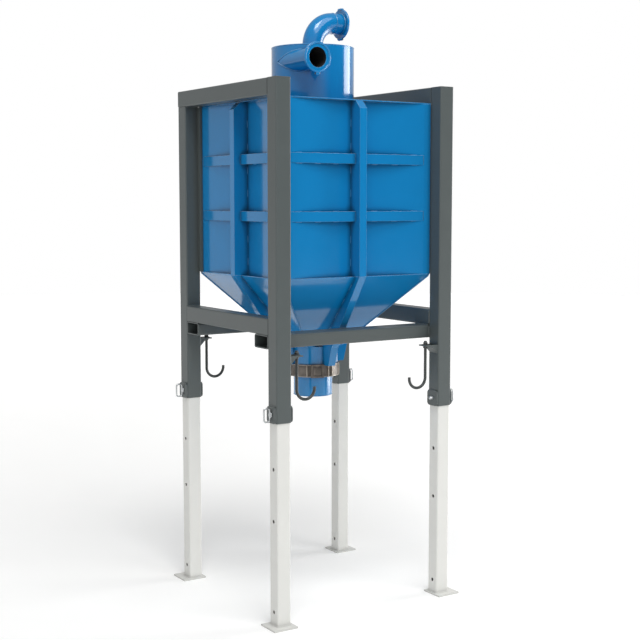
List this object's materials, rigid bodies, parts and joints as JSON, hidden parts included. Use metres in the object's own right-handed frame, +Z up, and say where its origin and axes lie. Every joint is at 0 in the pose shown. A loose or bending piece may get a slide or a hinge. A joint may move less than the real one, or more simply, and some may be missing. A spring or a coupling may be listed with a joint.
{
  "type": "cyclone separator with hopper and bulk-bag filling stand",
  "caption": "Cyclone separator on a ribbed hopper in a four-post stand with telescopic legs, fork pockets and bag hooks, for filling bulk bags.",
  "frame": {"origin": "on the ground, midway between the four feet", "axes": "+Z up, -Y is the front that the inlet faces, +X is the side that the outlet faces"},
  "size_m": [1.406, 1.332, 3.722],
  "materials": {
    "frame_paint": "satin grey paint",
    "leg_paint": "satin light grey paint",
    "blue_paint": "gloss blue paint",
    "zinc": "zinc plated",
    "hook_steel": "dark grey",
    "strap_steel": "dull strip"
  },
  "bodies": {
    "root": {"clamp_band": "strap_steel", "clamp_buckle": "strap_steel", "cyclone_lid": "blue_paint", "cyclone_shell": "blue_paint", "foot_plates": "leg_paint", "fork_pocket_front": "frame_paint", "fork_pocket_rear": "frame_paint", "hook_brackets": "frame_paint", "hook_front_left": "hook_steel", "hook_front_right": "hook_steel", "hook_rear_left": "hook_steel", "hook_rear_right": "hook_steel", "hopper_pyramid": "blue_paint", "hopper_roof": "blue_paint", "hopper_wall_front": "blue_paint", "hopper_wall_left": "blue_paint", "hopper_wall_rear": "blue_paint", "hopper_wall_right": "blue_paint", "inlet_pipe": "blue_paint", "leg_front_left": "leg_paint", "leg_front_right": "leg_paint", "leg_rear_left": "leg_paint", "leg_rear_right": "leg_paint", "locking_pin_front_left": "zinc", "locking_pin_front_right": "zinc", "locking_pin_rear_left": "zinc", "locking_pin_rear_right": "zinc", "lower_beam_left": "frame_paint", "lower_beam_right": "frame_paint", "mounting_bars": "frame_paint", "outlet_pipe": "blue_paint", "pin_doublers": "frame_paint", "post_front_left": "frame_paint", "post_front_right": "frame_paint", "post_rear_left": "frame_paint", "post_rear_right": "frame_paint", "pyramid_ribs": "blue_paint", "spout_collar": "blue_paint", "spout_tube": "blue_paint", "top_beam_left": "frame_paint", "top_beam_right": "frame_paint", "wall_ribs_front": "blue_paint", "wall_ribs_left": "blue_paint", "wall_ribs_rear": "blue_paint", "wall_ribs_right": "blue_paint"}
  },
  "joints": []
}
